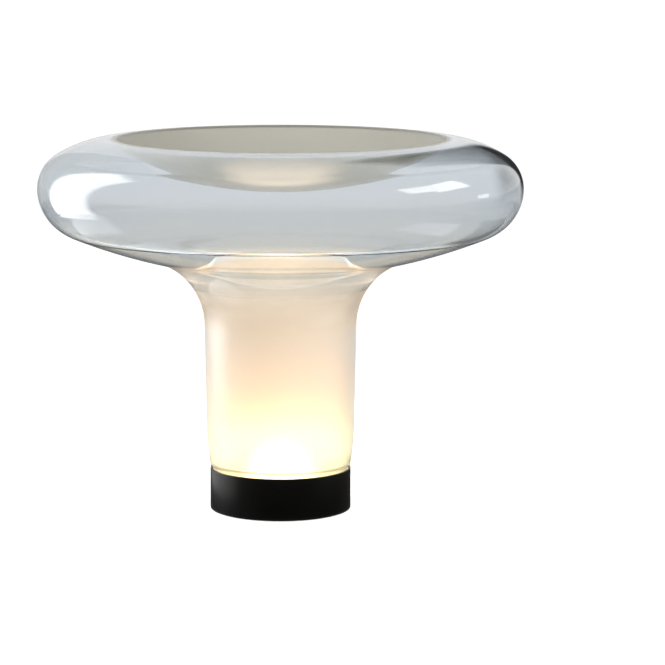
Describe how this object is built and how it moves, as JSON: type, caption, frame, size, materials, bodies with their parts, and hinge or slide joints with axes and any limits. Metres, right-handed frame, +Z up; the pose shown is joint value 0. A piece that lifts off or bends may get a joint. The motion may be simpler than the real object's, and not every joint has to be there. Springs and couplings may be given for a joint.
{
  "type": "mushroom table lamp",
  "caption": "Table lamp of one blown glass mushroom, clear dished head on a frosted stem, standing loose in a low black metal base with an opal LED dome.",
  "frame": {"origin": "middle of the foot ring on the surface that the lamp stands on", "axes": "+Z up along the lamp's axis, +Y towards the cord inlet at the back, -Y the front"},
  "size_m": [0.4339, 0.434, 0.336],
  "materials": {
    "clear_glass": "clear polished glass, frosted on the stem and under the dish",
    "black_metal": "satin black powder coat on turned metal",
    "silicone": "soft translucent silicone",
    "white_deck": "matt white reflector enamel",
    "opal": "opal diffuser, lit",
    "sink_aluminium": "die cast, bead blasted",
    "gap_pad": "soft thermal pad",
    "board_white": "aluminium core board with white solder mask",
    "led_phosphor": "LED packages with yellow phosphor",
    "zinc_steel": "zinc plated",
    "ballast_iron": "grey iron casting",
    "cover_steel": "black coated steel sheet",
    "foot_foam": "dense foam rubber",
    "case_plastic": "moulded white polycarbonate",
    "circuit_board": "glass fibre laminate with green mask",
    "transformer": "ferrite core with yellow insulating tape",
    "can_sleeve": "shrink sleeved aluminium cans",
    "terminal_plastic": "polyamide",
    "grommet_rubber": "moulded rubber",
    "mains_wire": "insulated wires",
    "led_wire": "insulated wires"
  },
  "bodies": {
    "base": {"base_cup": "black_metal", "seat_gasket": "silicone", "deck_plate": "white_deck", "deck_screws": "zinc_steel", "led_dome": "opal", "dome_screws": "zinc_steel", "heat_sink": "sink_aluminium", "thermal_pad": "gap_pad", "led_board": "board_white", "led_packages": "led_phosphor", "board_screws": "zinc_steel", "ballast_ring": "ballast_iron", "ballast_screws": "zinc_steel", "bottom_cover": "cover_steel", "cover_screws": "zinc_steel", "foot_pad": "foot_foam", "driver_tray": "case_plastic", "driver_lid": "case_plastic", "driver_screws": "zinc_steel", "driver_board": "circuit_board", "driver_transformer": "transformer", "driver_capacitors": "can_sleeve", "terminal_block": "terminal_plastic", "terminal_screws": "zinc_steel", "cord_grommet": "grommet_rubber", "mains_leads": "mains_wire", "led_leads": "led_wire"},
    "shade": {"glass_shade": "clear_glass"}
  },
  "joints": [
    {"name": "shade_lift", "type": "slide", "parent": "base", "child": "shade", "axis": [0, 0, 1], "range_m": [0, 0.06]}
  ]
}
